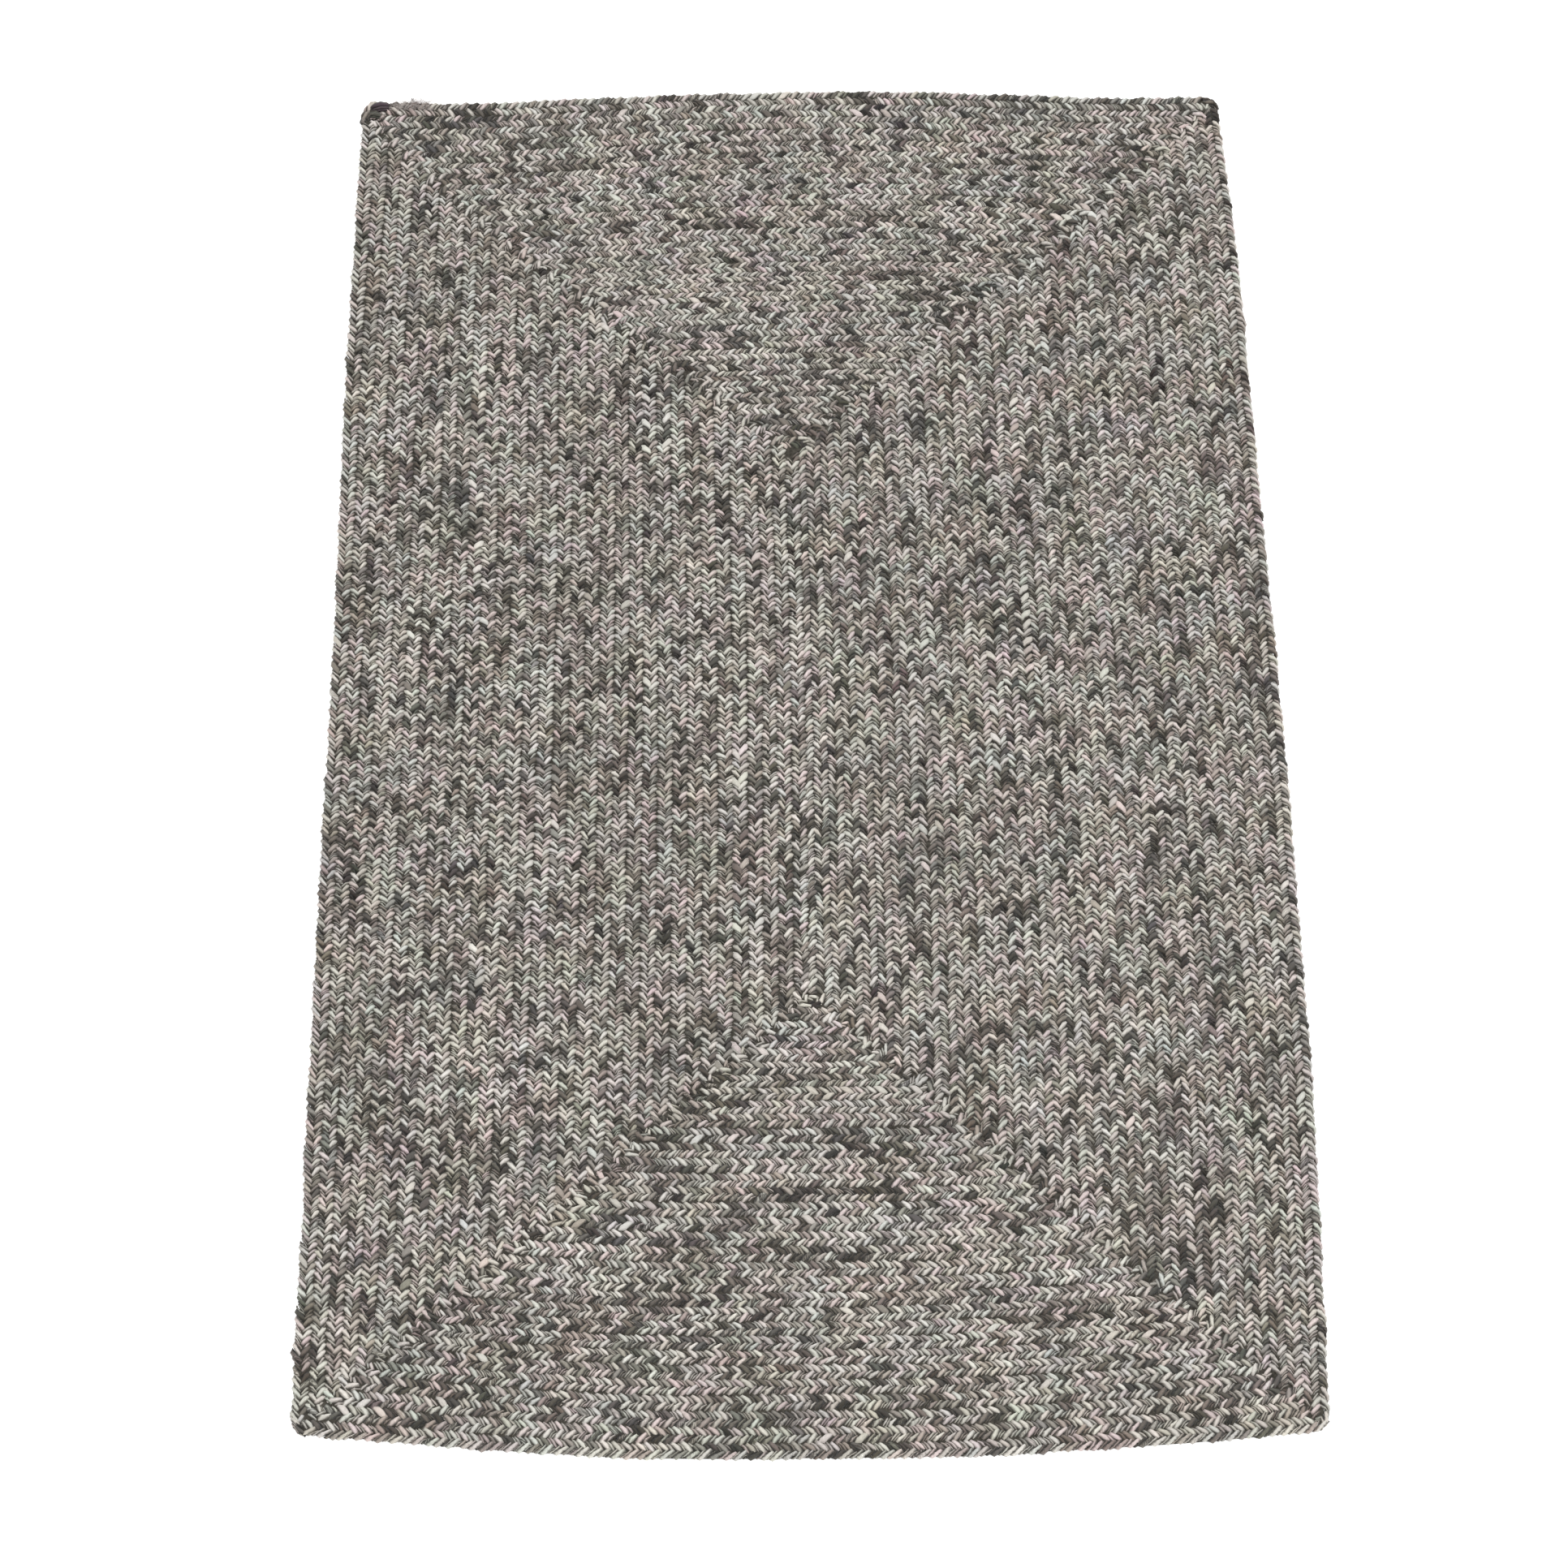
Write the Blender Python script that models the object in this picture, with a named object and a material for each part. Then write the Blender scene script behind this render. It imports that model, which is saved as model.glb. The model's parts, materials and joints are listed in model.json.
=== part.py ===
"""A rectangular braided rug, lying flat.

One flat braid is wound from a straight start into a rectangle of rounds, and each round is
sewn to the one before it. The rug is modelled as one solid sheet: a rib for each round of
braid, a groove for each sewn seam, mitred corners and the slightly bowed outline of a rug
that is made by hand.

Units are metres, +Z is up, the long side runs along Y, and the origin is at the middle of
the flat underside.
"""

import bmesh
import bpy
import numpy as np

# The rug as it lies.
WIDTH = 0.9086
LENGTH = 1.5386
THICKNESS = 0.0090

# The winding. The core is the first, straight stretch of braid at the middle.
CORE_LENGTH = 0.6192
ROUNDS = 32
PITCH_ACROSS = WIDTH / 2 / ROUNDS
PITCH_ALONG = (LENGTH - CORE_LENGTH) / 2 / ROUNDS

# The rib of one round, with places across it as shares of the pitch.
SEAM_DEPTH = 0.0026
SHOULDER_IN = 0.25
SHOULDER_OUT = 0.75

# The outer edge is rounded: widest at half height, and a little narrower on the floor.
EDGE_HEIGHT = 0.0042
EDGE_UNDERCUT = 0.15

# Each side of a round has a point near each corner, and equal steps between those two.
CORNER_REACH = 0.016
CORNER_SHARE = 0.2
SIDE_STEPS = 6
CORNER_CUT = 0.0048
POINTS_A_SIDE = SIDE_STEPS + 2

# How far the edges are drawn in from a true rectangle, in millimetres. The share runs
# along each side from -1 to 1, towards +Y on the long sides and towards +X on the ends.
EDGE_COLUMNS = ("share", "left", "right", "front", "back")
EDGE_ROWS = (
    (-1.00, 0.0, 10.0, 26.0, 13.5),
    (-0.75, 0.6, 4.0, 15.5, 15.0),
    (-0.50, 0.8, 0.2, 6.0, 10.0),
    (-0.25, 0.8, 0.0, 0.3, 4.0),
    (0.00, 1.8, 0.8, 0.0, 0.6),
    (0.25, 1.4, 3.2, 1.0, 0.4),
    (0.50, 0.0, 6.0, 6.0, 4.3),
    (0.75, 1.0, 8.2, 13.0, 9.0),
    (1.00, 3.0, 17.0, 24.0, 8.0),
)
EDGES = dict(zip(EDGE_COLUMNS, np.array(EDGE_ROWS).T))

# How far the rounds at each end sit nearer the middle than even spacing puts them, in mm.
SHIFT_COLUMNS = ("round", "front", "back")
SHIFT_ROWS = (
    (0, 0.0, 0.0),
    (4, 0.0, 1.0),
    (9, 5.0, 3.7),
    (13, 3.0, 1.8),
    (17, 2.2, 8.6),
    (21, 0.5, 7.2),
    (28, 2.9, 6.6),
    (32, 0.0, 0.0),
)
SHIFTS = dict(zip(SHIFT_COLUMNS, np.array(SHIFT_ROWS).T))

# The draw of the left side fades in from the middle of the rug. The right side's starts
# near the left edge, and is whole before the middle. The ends' is whole half way out.
RIGHT_FADE_START = 1.3
RIGHT_FADE_RATE = 1.5
END_FADE_RATE = 2.2

MM = 0.001
MERGE_DISTANCE = 0.00005

# Heathered wool yarns: the mean of the cream, grey, taupe and charcoal.
WOOL_COLOUR = (0.258, 0.236, 0.211, 1.0)
WOOL_ROUGHNESS = 0.95


def clear_scene():
    for obj in list(bpy.data.objects):
        bpy.data.objects.remove(obj, do_unlink=True)


def wool():
    material = bpy.data.materials.new("braided_wool")
    material.use_nodes = True
    shader = material.node_tree.nodes["Principled BSDF"]
    shader.inputs["Base Color"].default_value = WOOL_COLOUR
    shader.inputs["Roughness"].default_value = WOOL_ROUGHNESS
    shader.inputs["Metallic"].default_value = 0.0
    return material


def rug_section():
    """The profile from the middle of the rug to its edge: (round, height) pairs."""
    seam = THICKNESS - SEAM_DEPTH
    points = []
    for number in range(ROUNDS):
        points.append((number, seam))
        points.append((number + SHOULDER_IN, THICKNESS))
        points.append((number + SHOULDER_OUT, THICKNESS))
    points.append((ROUNDS, EDGE_HEIGHT))
    points.append((ROUNDS - EDGE_UNDERCUT, 0.0))
    return points


def side_place(step, half):
    """A point's distance along a side of the given half length, from the side's middle."""
    near = min(CORNER_REACH, CORNER_SHARE * 2 * half)
    if step == 0:
        return -half
    inner = half - near
    return -inner + (step - 1) / SIDE_STEPS * 2 * inner


def round_point(number, index):
    """A point on the true rectangle of a round. The index runs anticlockwise."""
    side, step = divmod(index % (4 * POINTS_A_SIDE), POINTS_A_SIDE)
    across = number * PITCH_ACROSS
    along = CORE_LENGTH / 2 + number * PITCH_ALONG
    cut = 0.0
    if step == 0:
        first_cut = ROUNDS - 1 + SHOULDER_IN
        cut = CORNER_CUT * max(0.0, (number - first_cut) / (ROUNDS - first_cut))
    if side == 0:
        return side_place(step, across) + cut, -along + cut
    if side == 1:
        return across - cut, side_place(step, along) + cut
    if side == 2:
        return -side_place(step, across) - cut, along - cut
    return -across + cut, -side_place(step, along) - cut


def ease(share):
    share = min(max(share, 0.0), 1.0)
    return share * share * (3 - 2 * share)


def settle(x, y, number):
    """Moves a point of the true rectangle to where it lies in the rug made by hand."""
    share_x = x / (WIDTH / 2)
    share_y = y / (LENGTH / 2)
    left = np.interp(share_y, EDGES["share"], EDGES["left"]) * ease(-share_x)
    right = np.interp(share_y, EDGES["share"], EDGES["right"])
    right *= ease(RIGHT_FADE_START + RIGHT_FADE_RATE * share_x)
    end = "back" if y > 0 else "front"
    drawn = np.interp(share_x, EDGES["share"], EDGES[end])
    drawn += np.interp(number, SHIFTS["round"], SHIFTS[end])
    drawn *= ease(END_FADE_RATE * abs(share_y))
    return x + (left - right) * MM, y - np.sign(y) * drawn * MM


def build_rug():
    section = rug_section()
    around = 4 * POINTS_A_SIDE
    across = len(section) - 1
    bm = bmesh.new()
    bmesh.ops.create_grid(bm, x_segments=around, y_segments=across, size=1.0)
    for vert in bm.verts:
        index = round((vert.co.x + 1) / 2 * around)
        number, height = section[round((vert.co.y + 1) / 2 * across)]
        x, y = round_point(number, index)
        vert.co = (*settle(x, y, number), height)
    bmesh.ops.remove_doubles(bm, verts=bm.verts, dist=MERGE_DISTANCE)

    # The flat underside closes the rim.
    rim = [edge for edge in bm.edges if edge.is_boundary]
    bmesh.ops.contextual_create(bm, geom=rim)
    bmesh.ops.triangulate(bm, faces=[face for face in bm.faces if len(face.verts) == 4])
    bmesh.ops.recalc_face_normals(bm, faces=bm.faces)

    # The rug stands over the middle of its own box.
    places = np.array([vert.co for vert in bm.verts])
    middle = (places.min(axis=0) + places.max(axis=0)) / 2
    bmesh.ops.translate(bm, verts=bm.verts, vec=(-middle[0], -middle[1], 0.0))

    mesh = bpy.data.meshes.new("braided_rug")
    bm.to_mesh(mesh)
    bm.free()
    mesh.materials.append(wool())
    return bpy.data.objects.new("braided_rug", mesh)


clear_scene()
collection = bpy.data.collections.new("Braided rug")
bpy.context.scene.collection.children.link(collection)
collection.objects.link(build_rug())
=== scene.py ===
"""A rectangular braided rug of heathered wool, lying flat.

Wool yarns are bunched into three strands, the strands are plaited into one flat braid, and
the braid is wound from a straight start into a rectangle and laced to itself round by round.
"""

import json

import bpy
import numpy as np
from mathutils import Matrix, Vector

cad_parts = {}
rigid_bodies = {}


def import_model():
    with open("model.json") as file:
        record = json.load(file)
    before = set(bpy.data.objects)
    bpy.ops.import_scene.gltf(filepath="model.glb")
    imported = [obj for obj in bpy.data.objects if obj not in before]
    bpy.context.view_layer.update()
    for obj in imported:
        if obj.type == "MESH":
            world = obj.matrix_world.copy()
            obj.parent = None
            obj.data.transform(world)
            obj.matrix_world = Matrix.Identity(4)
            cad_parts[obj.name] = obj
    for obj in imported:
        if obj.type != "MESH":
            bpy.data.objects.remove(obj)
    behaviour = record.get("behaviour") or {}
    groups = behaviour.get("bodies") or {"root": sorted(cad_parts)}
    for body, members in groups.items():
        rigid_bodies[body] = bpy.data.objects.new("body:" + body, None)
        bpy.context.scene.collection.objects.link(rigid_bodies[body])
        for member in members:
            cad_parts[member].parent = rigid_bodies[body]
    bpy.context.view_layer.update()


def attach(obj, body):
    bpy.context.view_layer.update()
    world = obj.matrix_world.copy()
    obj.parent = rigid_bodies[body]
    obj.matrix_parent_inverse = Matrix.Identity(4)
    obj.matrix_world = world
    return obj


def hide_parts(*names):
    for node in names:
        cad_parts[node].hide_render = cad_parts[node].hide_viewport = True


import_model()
MM = 0.001

# The wound braid, as it shows on top
#
# One flat braid of three strands runs anticlockwise from the middle outwards: down the left
# side, along the front, up the right side and back along the far end, 32 times. Each round
# is laced to the one before it by hand, so the seams wander and the rug's edges bow.

ROUNDS = 32
RUG_WIDTH = 0.9086
RUG_LENGTH = 1.5386
CORE_LENGTH = 0.6192
PITCH_ACROSS = RUG_WIDTH / 2 / ROUNDS
PITCH_ALONG = (RUG_LENGTH - CORE_LENGTH) / 2 / ROUNDS
TURN_RADIUS = 4.5 * MM
TURN_STEPS = 6
END_TURN_LENGTH = 6 * MM

# How far the edges are drawn in from a true rectangle, in millimetres. The share runs
# along each side from -1 to 1, towards +Y on the long sides and towards +X on the ends.
EDGE_COLUMNS = ("share", "left", "right", "front", "back")
EDGE_ROWS = (
    (-1.00, 0.0, 10.0, 26.0, 13.5),
    (-0.75, 0.6, 4.0, 15.5, 15.0),
    (-0.50, 0.8, 0.2, 6.0, 10.0),
    (-0.25, 0.8, 0.0, 0.3, 4.0),
    (0.00, 1.8, 0.8, 0.0, 0.6),
    (0.25, 1.4, 3.2, 1.0, 0.4),
    (0.50, 0.0, 6.0, 6.0, 4.3),
    (0.75, 1.0, 8.2, 13.0, 9.0),
    (1.00, 3.0, 17.0, 24.0, 8.0),
)
EDGES = dict(zip(EDGE_COLUMNS, np.array(EDGE_ROWS).T))

# How far the rounds at each end sit nearer the middle than even spacing puts them, in mm.
SHIFT_COLUMNS = ("round", "front", "back")
SHIFT_ROWS = (
    (0, 0.0, 0.0),
    (4, 0.0, 1.0),
    (9, 5.0, 3.7),
    (13, 3.0, 1.8),
    (17, 2.2, 8.6),
    (21, 0.5, 7.2),
    (28, 2.9, 6.6),
    (32, 0.0, 0.0),
)
SHIFTS = dict(zip(SHIFT_COLUMNS, np.array(SHIFT_ROWS).T))

RIGHT_FADE_START = 1.3
RIGHT_FADE_RATE = 1.5
END_FADE_RATE = 2.2

# How far the seams that run lengthwise wander to the right, in mm, by their place across
# the rug. Lean is how much more they do so for each 300 mm towards the far end.
WANDER_COLUMNS = ("across", "right", "lean")
WANDER_ROWS = (
    (-454, 0.0, 0.0),
    (-400, -0.7, 0.3),
    (-320, -1.1, 0.0),
    (-280, -0.9, 1.2),
    (-240, 1.0, 1.7),
    (-120, 1.8, 1.4),
    (-40, 2.3, 1.5),
    (0, 1.0, 1.2),
    (80, 0.4, 1.1),
    (200, 0.5, 0.4),
    (280, 1.6, 0.3),
    (320, 2.3, 0.0),
    (400, 1.8, 0.3),
    (454, 0.3, 0.0),
)
WANDER = dict(zip(WANDER_COLUMNS, np.array(WANDER_ROWS, float).T))
LEAN_REACH = 300
LEAN_LIMIT = 1.2


def smooth_between(place, places, values):
    """The value at a place, on a smooth curve through the table's values."""
    slopes = np.gradient(values, places)
    row = np.clip(np.searchsorted(places, place) - 1, 0, len(places) - 2)
    gap = places[row + 1] - places[row]
    t = np.clip((place - places[row]) / gap, 0, 1)
    rise = values[row + 1] - values[row]
    ends = slopes[row] * gap * t * (1 - t) ** 2 - slopes[row + 1] * gap * t**2 * (1 - t)
    return values[row] + rise * t**2 * (3 - 2 * t) + ends


def ease(share):
    share = np.clip(share, 0, 1)
    return share**2 * (3 - 2 * share)


def drawn(points):
    """Where points of the true rectangle lie in the rug made by hand, before centring."""
    x, y = np.asarray(points, float).T
    number = np.maximum(abs(x) / PITCH_ACROSS, (abs(y) - CORE_LENGTH / 2) / PITCH_ALONG)
    share_x, share_y = x / (RUG_WIDTH / 2), y / (RUG_LENGTH / 2)
    left = smooth_between(share_y, EDGES["share"], EDGES["left"]) * ease(-share_x)
    right = smooth_between(share_y, EDGES["share"], EDGES["right"])
    right = right * ease(RIGHT_FADE_START + RIGHT_FADE_RATE * share_x)
    back = y > 0
    end = np.where(
        back,
        smooth_between(share_x, EDGES["share"], EDGES["back"])
        + smooth_between(number, SHIFTS["round"], SHIFTS["back"]),
        smooth_between(share_x, EDGES["share"], EDGES["front"])
        + smooth_between(number, SHIFTS["round"], SHIFTS["front"]),
    )
    end = end * ease(END_FADE_RATE * abs(share_y)) * np.where(back, 1, -1)
    return np.stack([x + (left - right) * MM, y - end * MM], 1)


def true_outline(inset, steps=64):
    """Points round the true rectangle, anticlockwise, the given distance inside its edge."""
    across, along = RUG_WIDTH / 2 - inset, RUG_LENGTH / 2 - inset
    run = np.linspace(0, 1, steps, endpoint=False)[:, None]
    corners = np.array([(-across, -along), (across, -along), (across, along), (-across, along)])
    sides = zip(corners, np.roll(corners, -1, axis=0))
    return np.concatenate([a + (b - a) * run for a, b in sides])


RIM = drawn(true_outline(0.0))
MIDDLE = (RIM.min(0) + RIM.max(0)) / 2


def settled(points):
    """Where points of the true rectangle lie in the rug, over the middle of its own box."""
    places = drawn(points) - MIDDLE
    across = places[:, 0] / MM
    lean = np.clip(places[:, 1] / MM / LEAN_REACH, -LEAN_LIMIT, LEAN_LIMIT)
    aside = smooth_between(across, WANDER["across"], WANDER["right"])
    aside = aside + lean * smooth_between(across, WANDER["across"], WANDER["lean"])
    places[:, 0] += aside * MM
    return places


def braid_route():
    """The true middle line of the braid, and how many corners it has passed at each point."""
    corners = [(-PITCH_ACROSS / 2, CORE_LENGTH / 2 - PITCH_ALONG / 2)]
    for number in range(1, ROUNDS + 1):
        across = (number - 0.5) * PITCH_ACROSS
        along = CORE_LENGTH / 2 + (number - 0.5) * PITCH_ALONG
        corners += [(-across, -along), (across, -along), (across, along)]
        corners.append((-across - PITCH_ACROSS, along))
    # The last round turns its end down over the corner where it began.
    corners[-1] = (-across, along)
    corners.append((-across, along - END_TURN_LENGTH))
    corners = np.array(corners)
    legs = np.diff(corners, axis=0)
    headings = np.unwrap(np.arctan2(legs[:, 1], legs[:, 0]))
    points, directions, passed = [corners[0]], [headings[0]], [0.0]
    for number, corner in enumerate(corners[1:-1]):
        before, after = headings[number], headings[number + 1]
        turn = np.linspace(before, after, TURN_STEPS)
        back = corner - TURN_RADIUS * np.array([np.cos(before), np.sin(before)])
        hub = back + TURN_RADIUS * np.array([-np.sin(before), np.cos(before)])
        points += [hub + TURN_RADIUS * np.array([np.sin(a), -np.cos(a)]) for a in turn]
        directions += list(turn)
        passed += list(number + np.linspace(0, 1, TURN_STEPS))
    points.append(corners[-1])
    directions.append(headings[-1])
    passed.append(passed[-1])
    return np.array(points), np.array(directions), np.array(passed)


ROUTE, HEADINGS, PASSED = braid_route()
ROUTE_AT = np.concatenate([[0], np.cumsum(np.linalg.norm(np.diff(ROUTE, axis=0), axis=1))])
TURNS_AT = ROUTE_AT[1:-1].reshape(-1, TURN_STEPS).mean(1)


def on_route(at):
    """The place on the true middle line, and the heading, that far along the braid."""
    place = np.stack([np.interp(at, ROUTE_AT, ROUTE[:, axis]) for axis in (0, 1)], 1)
    return place, np.interp(at, ROUTE_AT, HEADINGS)


# The yarns are spun loosely from fleece dyed in cream, greys, taupe and charcoal, and each
# strand holds a mixture of them: the sRGB colour of each, and its share of the yarns.
WOOL_COLOURS = (
    ("#d0cbc3", 0.23),
    ("#cac9c1", 0.17),
    ("#cec1bd", 0.14),
    ("#beb8af", 0.10),
    ("#aaa098", 0.08),
    ("#928e86", 0.08),
    ("#7a726b", 0.10),
    ("#5b5751", 0.08),
    ("#48443f", 0.02),
)
TONE_SPREAD = 6
WARMTH_SPREAD = 1.6
GREEN_SPREAD = 1.4
STAY_SHARE = 0.3
TWIN_SHARE = 0.62
YARN_SLOTS = 3
STRANDS = 3

# The fleece changes slowly over the rug: the way its red, green and blue change, how much
# in 255ths, and over what lengths in metres.
BRIGHTER = (1, 1, 1)
WARMER = (0.5, 0, -0.5)
GREENER = (-0.5, 0.5, -0.5)
BATCHES = (
    (BRIGHTER, 3.5, (0.06, 0.35)),
    (WARMER, 2.4, (0.015, 0.12)),
    (GREENER, 1.5, (0.015, 0.12)),
)
BATCH_WAVES = 30


def linear(srgb):
    """Linear colours of sRGB ones, both from 0 to 1."""
    srgb = np.clip(srgb, 0, 1)
    return np.where(srgb <= 0.04045, srgb / 12.92, ((srgb + 0.055) / 1.055) ** 2.4)


def srgb_of(code):
    return np.array(list(bytes.fromhex(code.lstrip("#")))) / 255


def slow_change(points, lengths, waves, rng):
    """A smooth random value at each point, about 0 and with a spread of 1."""
    angles = rng.uniform(0, 2 * np.pi, waves)
    rates = 2 * np.pi / rng.uniform(*lengths, waves)
    ways = np.stack([np.cos(angles), np.sin(angles)])[: points.shape[1]] * rates
    phases = rng.uniform(0, 2 * np.pi, waves)
    return np.sqrt(2 / waves) * np.cos(points @ ways + phases).sum(1)


def carried_on(values, stay, cycle, rng):
    """Lets each row of values take the place of those one cycle later, mostly."""
    for row in range(cycle, len(values)):
        stays = rng.random(values.shape[1]) < stay
        values[row][stays] = values[row - cycle][stays]
    return values


def yarn_colours(places, rng):
    """Linear colour of each yarn slot of each lobe, in order along the braid. Every third
    lobe is the same strand, and most of its yarns are then the same ones again."""
    count = len(places)
    codes, shares = zip(*WOOL_COLOURS)
    palette = np.array([srgb_of(code) for code in codes])
    size = (count, YARN_SLOTS)
    picked = rng.choice(len(codes), size, p=np.array(shares) / sum(shares))
    tone = rng.normal(0, TONE_SPREAD / 255, (*size, 1))
    warmth = rng.normal(0, WARMTH_SPREAD / 255, (*size, 1)) * np.array(WARMER)
    green = rng.normal(0, GREEN_SPREAD / 255, (*size, 1)) * np.array(GREENER)
    dyed = carried_on(palette[picked] + tone + warmth + green, STAY_SHARE, STRANDS, rng)
    for slot in range(1, YARN_SLOTS):
        twin = rng.random(count) < TWIN_SHARE
        dyed[twin, slot] = dyed[twin, slot - 1]
    for way, most, lengths in BATCHES:
        batch = slow_change(places, lengths, BATCH_WAVES, rng)
        dyed = dyed + batch[:, None, None] * np.array(way) * most / 255
    return np.concatenate([linear(dyed), np.ones((*size, 1))], 2)


# Loosely spun wool: countless fine fibres scatter the light, so a yarn has no gloss and a
# soft pale bloom at its edges. It is streaked along its twist, and two fleeces mix in it.
# Real fibres are 0.03 mm, and are drawn coarser so that they show.
FIBRE_MM = 0.6
FIBRE_LENGTH_MM = 7.0
TWIST = np.radians(20)
FLECK_MM = 1.8
FLECK_SHARE = 0.4
FIBRE_LEVELS = (0.82, 1.16)
FIBRE_DEPTH = 0.35
SECOND_FLEECE_FROM = (0.46, 0.60)
SECOND_FLEECE_MOST = 0.6
FIBRE_NOISE = (0.3, 0.7)
STREAK_DETAIL = 2.0
STREAK_ROUGHNESS = 0.6
FLECK_DETAIL = 1.0
# Painted shade: where the yarns meet the colour is darkened and warmed towards this level, by the
# crest values and a little noise.
CREVICE_PAINTED_SHADE = (0.165, 0.15, 0.125)
CREST_NOISE = 0.3
CREST_IN_LIGHT = 0.8
RELIEF_HEIGHT = 0.3 * MM
WOOL_ROUGHNESS = 0.95
WOOL_SPECULAR = 0.15
WOOL_SHEEN = 0.15
SHEEN_ROUGHNESS = 0.6


def add_node(tree, kind, inputs=(), **settings):
    """Adds a node with its settings. An input is a value, or the output linked to it."""
    made = tree.nodes.new(kind)
    for name, value in settings.items():
        setattr(made, name, value)
    for socket, value in dict(inputs).items():
        if isinstance(value, bpy.types.NodeSocket):
            tree.links.new(value, made.inputs[socket])
        else:
            made.inputs[socket].default_value = value
    return made


def wool_material(name):
    """Soft spun wool: matt and streaked along its twist, with painted shade where the yarns meet.
    """
    material = bpy.data.materials.new(name)
    material.use_nodes = True
    tree = material.node_tree
    shader = tree.nodes["Principled BSDF"]
    dyed = add_node(tree, "ShaderNodeAttribute", attribute_name="colour")
    second = add_node(tree, "ShaderNodeAttribute", attribute_name="second_colour")
    chance = add_node(tree, "ShaderNodeAttribute", attribute_name="chance")
    crest = add_node(tree, "ShaderNodeAttribute", attribute_name="crest")
    along_yarn = add_node(tree, "ShaderNodeUVMap", uv_map="yarn_mm")
    apart = add_node(
        tree,
        "ShaderNodeVectorMath",
        {0: along_yarn.outputs["UV"], 1: chance.outputs["Vector"]},
        operation="ADD",
    )
    # The fibres lie along the twist, so the streaks are long and thin.
    stretched = add_node(
        tree,
        "ShaderNodeMapping",
        {
            "Vector": apart.outputs[0],
            "Rotation": (0, 0, TWIST),
            "Scale": (FIBRE_LENGTH_MM, FIBRE_MM, 1),
        },
        vector_type="TEXTURE",
    )
    streaks = add_node(
        tree,
        "ShaderNodeTexNoise",
        {
            "Vector": stretched.outputs[0],
            "Scale": 1.0,
            "Detail": STREAK_DETAIL,
            "Roughness": STREAK_ROUGHNESS,
        },
    )
    flecks = add_node(
        tree,
        "ShaderNodeTexNoise",
        {"Vector": apart.outputs[0], "Scale": 1 / FLECK_MM, "Detail": FLECK_DETAIL},
    )
    uneven = add_node(
        tree,
        "ShaderNodeMix",
        {"Factor": FLECK_SHARE, "A": streaks.outputs["Fac"], "B": flecks.outputs["Fac"]},
        data_type="FLOAT",
    )
    # The second fleece shows in streaks of its own.
    mixed_in = add_node(
        tree,
        "ShaderNodeMapRange",
        {
            "Value": streaks.outputs["Fac"],
            "From Min": SECOND_FLEECE_FROM[0],
            "From Max": SECOND_FLEECE_FROM[1],
            "To Max": SECOND_FLEECE_MOST,
        },
    )
    heathered = add_node(
        tree,
        "ShaderNodeMix",
        {
            "Factor": mixed_in.outputs["Result"],
            6: dyed.outputs["Color"],
            7: second.outputs["Color"],
        },
        data_type="RGBA",
    )
    level = add_node(
        tree,
        "ShaderNodeMapRange",
        {
            "Value": uneven.outputs["Result"],
            "From Min": FIBRE_NOISE[0],
            "From Max": FIBRE_NOISE[1],
            "To Min": FIBRE_LEVELS[0],
            "To Max": FIBRE_LEVELS[1],
        },
    )
    # Painted shade: between two yarns the colour is darkened and warmed, for the shade the
    # fibres cast on each other and the warm light they bounce. Along its crest each yarn is
    # palest.
    ragged = add_node(
        tree,
        "ShaderNodeMath",
        {0: uneven.outputs["Result"], 1: CREST_NOISE, 2: crest.outputs["Fac"]},
        operation="MULTIPLY_ADD",
    )
    shade = add_node(
        tree,
        "ShaderNodeMapRange",
        {
            "Value": ragged.outputs["Value"],
            "From Min": CREST_NOISE / 2,
            "From Max": CREST_NOISE / 2 + CREST_IN_LIGHT,
        },
        interpolation_type="SMOOTHSTEP",
    )
    painted_shade_tint = add_node(
        tree,
        "ShaderNodeMix",
        {"Factor": shade.outputs["Result"], 6: (*CREVICE_PAINTED_SHADE, 1), 7: (1, 1, 1, 1)},
        data_type="RGBA",
    )
    streaked = add_node(
        tree,
        "ShaderNodeVectorMath",
        {0: heathered.outputs[2], "Scale": level.outputs["Result"]},
        operation="SCALE",
    )
    shaded = add_node(
        tree,
        "ShaderNodeVectorMath",
        {0: streaked.outputs[0], 1: painted_shade_tint.outputs[2]},
        operation="MULTIPLY",
    )
    relief = add_node(
        tree,
        "ShaderNodeBump",
        {
            "Height": streaks.outputs["Fac"],
            "Strength": FIBRE_DEPTH,
            "Distance": RELIEF_HEIGHT,
        },
    )
    tree.links.new(shaded.outputs[0], shader.inputs["Base Color"])
    tree.links.new(relief.outputs["Normal"], shader.inputs["Normal"])
    shader.inputs["Roughness"].default_value = WOOL_ROUGHNESS
    shader.inputs["Specular IOR Level"].default_value = WOOL_SPECULAR
    shader.inputs["Sheen Weight"].default_value = WOOL_SHEEN
    shader.inputs["Sheen Roughness"].default_value = SHEEN_ROUGHNESS
    return material


WOOL = wool_material("Heathered wool yarn, spun")

# Where a strand crosses the face of the braid it shows as one leaf-shaped lobe of one to
# three yarns, which rises from the braid's outer edge and dives under the next lobe of the
# other side. Two slanted rows of lobes make each braid's chevrons. In millimetres:
LOBE_PITCH = 10.55 * MM
PITCH_MM = LOBE_PITCH / MM
LOBE_HALF = 3.6
YARN_OVERLAP = (0.94, 1.22, 1.3)
FLANK_DROP = 1.3
DEPTH_LEAST = 0.45
DEPTH_SHARE = 0.8
HALVES_ROUND = 4
STRETCH = (0.9, 1.1)
START = (-0.6, 0.6)
SLIP = 0.8
SWAY = 0.18
LIFT = (-0.2, 0.2)

# The trailing yarns lie over the lobe before, on the other side, and a little lower.
CROSSING = 1.2
CROSSING_DROP = 0.5
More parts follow.
